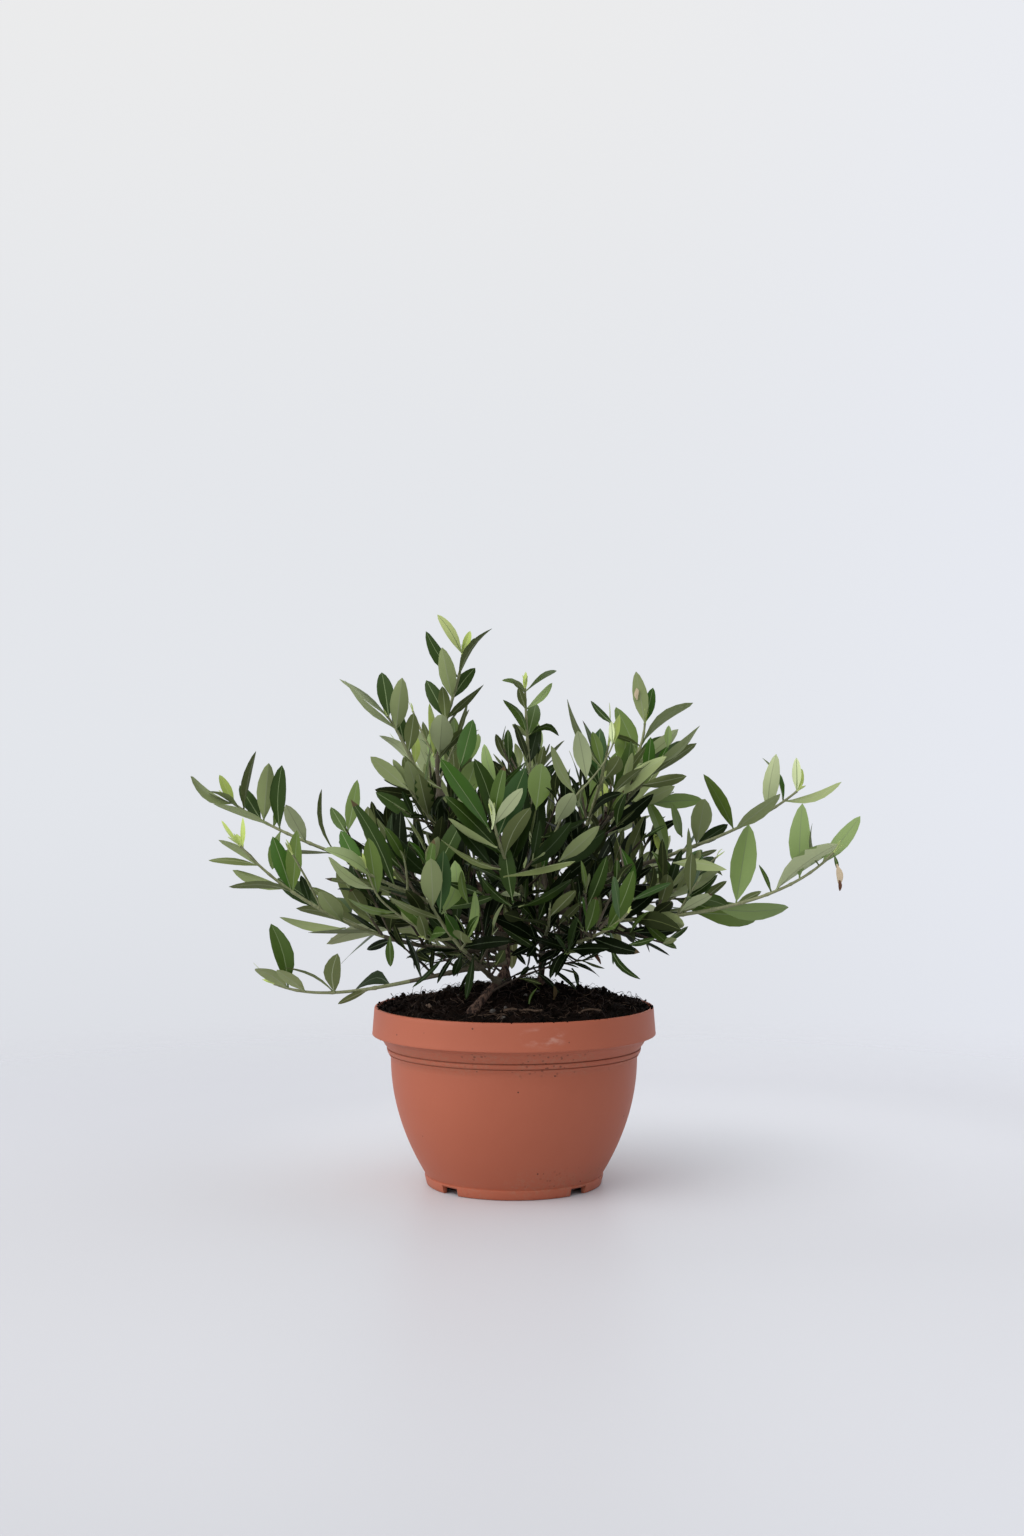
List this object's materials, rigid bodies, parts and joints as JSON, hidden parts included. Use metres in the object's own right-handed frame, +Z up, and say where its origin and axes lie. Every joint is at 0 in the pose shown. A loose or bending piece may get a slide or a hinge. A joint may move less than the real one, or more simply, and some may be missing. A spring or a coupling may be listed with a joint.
{
  "type": "potted olive bush",
  "caption": "Young olive bush with three stems, spreading leafy shoots and a mounded soil surface in a round terracotta-coloured plastic bowl pot.",
  "frame": {"origin": "the middle of the whole plant's bounding box, at the level of the ground under the pot's foot ring", "axes": "+Z up; +Y away from the viewer of the picture; +X to the viewer's right, along the crown's widest spread"},
  "size_m": [0.4522, 0.3518, 0.4028],
  "materials": {
    "pot": "matte terracotta-coloured plastic with pale dust",
    "soil": "moist dark potting soil, crumbly and fibrous",
    "bark": "rough grey-brown bark",
    "young_bark": "smooth grey-green young bark",
    "leaves": "leathery leaves, dark satin green above and pale grey-green below"
  },
  "bodies": {
    "root": {"pot": "pot", "soil": "soil", "trunk": "bark", "right_stem": "bark", "back_stem": "bark", "back_left_high_bough": "young_bark", "back_left_low_bough": "young_bark", "back_low_bough": "young_bark", "back_right_high_bough": "young_bark", "back_right_low_bough": "young_bark", "front_left_low_bough": "young_bark", "front_middle_bough": "young_bark", "front_right_low_bough": "young_bark", "front_right_up_bough": "young_bark", "left_back_low_bough": "young_bark", "left_front_bough": "young_bark", "left_hanging_bough": "young_bark", "left_high_bough": "young_bark", "left_long_bough": "young_bark", "left_low_bough": "young_bark", "left_top_bough": "young_bark", "low_back_bough": "young_bark", "right_drooping_bough": "young_bark", "right_high_bough": "young_bark", "right_long_bough": "young_bark", "right_low_bough": "young_bark", "right_middle_bough": "young_bark", "top_middle_bough": "young_bark", "back_left_high_leaves": "leaves", "back_left_low_leaves": "leaves", "back_low_leaves": "leaves", "back_right_high_leaves": "leaves", "back_right_low_leaves": "leaves", "back_top_leaves": "leaves", "front_left_low_leaves": "leaves", "front_middle_leaves": "leaves", "front_right_low_leaves": "leaves", "front_right_up_leaves": "leaves", "inner_front_leaves": "leaves", "inner_left_leaves": "leaves", "inner_right_leaves": "leaves", "left_back_low_leaves": "leaves", "left_front_leaves": "leaves", "left_hanging_leaves": "leaves", "left_high_leaves": "leaves", "left_long_leaves": "leaves", "left_low_leaves": "leaves", "left_top_leaves": "leaves", "low_back_leaves": "leaves", "right_drooping_leaves": "leaves", "right_high_leaves": "leaves", "right_long_leaves": "leaves", "right_low_leaves": "leaves", "right_middle_leaves": "leaves", "top_leaves": "leaves", "top_middle_leaves": "leaves", "top_right_leaves": "leaves"}
  },
  "joints": []
}
